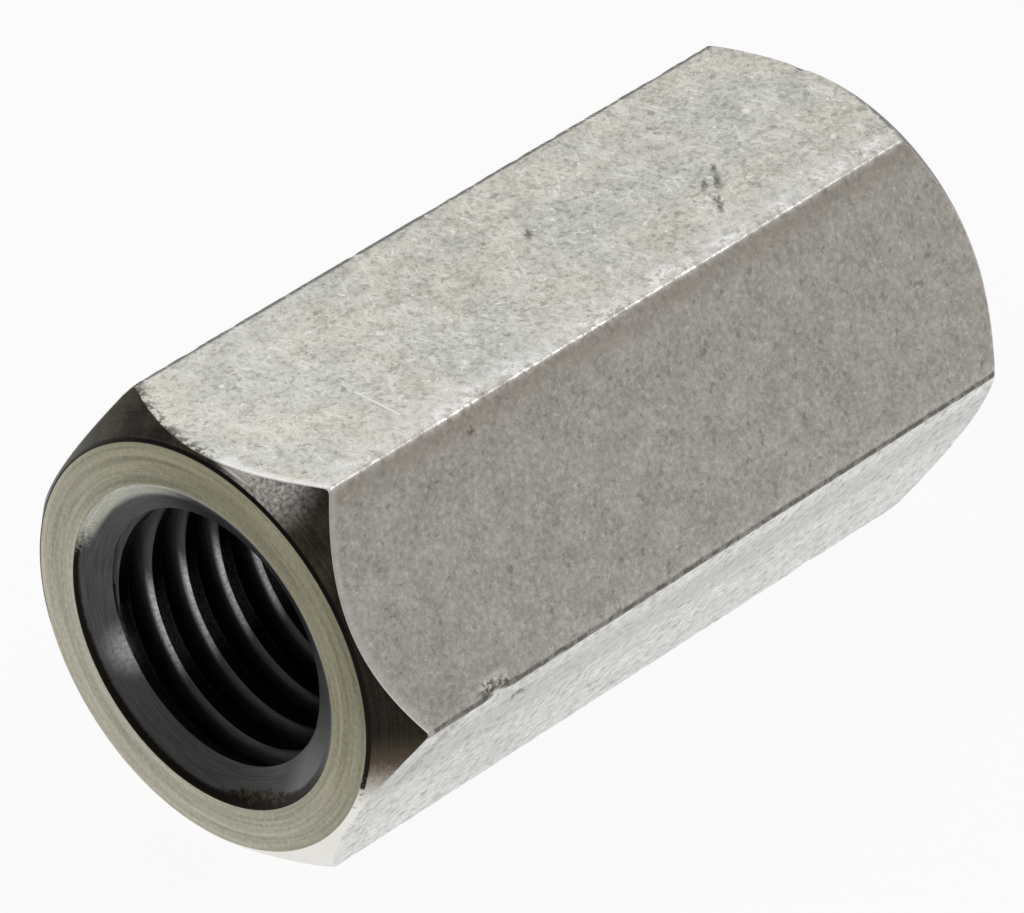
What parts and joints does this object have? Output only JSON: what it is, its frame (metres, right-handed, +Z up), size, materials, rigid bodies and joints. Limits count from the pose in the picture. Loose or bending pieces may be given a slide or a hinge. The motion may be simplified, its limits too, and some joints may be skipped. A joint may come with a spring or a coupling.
{
  "type": "coupling nut",
  "caption": "Long hexagonal coupling nut in plain steel, bored through for a metric thread, with cone-chamfered corners and countersunk mouths at both ends.",
  "frame": {"origin": "middle of the nut, on the thread's axis", "axes": "X along the thread's axis, with the end that faces the viewer of the picture at -X; Z up, square to the flat that the nut rests on; Y across the nut"},
  "size_m": [0.0344, 0.0196, 0.017],
  "materials": {
    "steel": "fine matt grain of drawn bar on the flats, turned end faces and chamfers, bare metal"
  },
  "bodies": {
    "root": {"coupling_nut": "steel"}
  },
  "joints": []
}
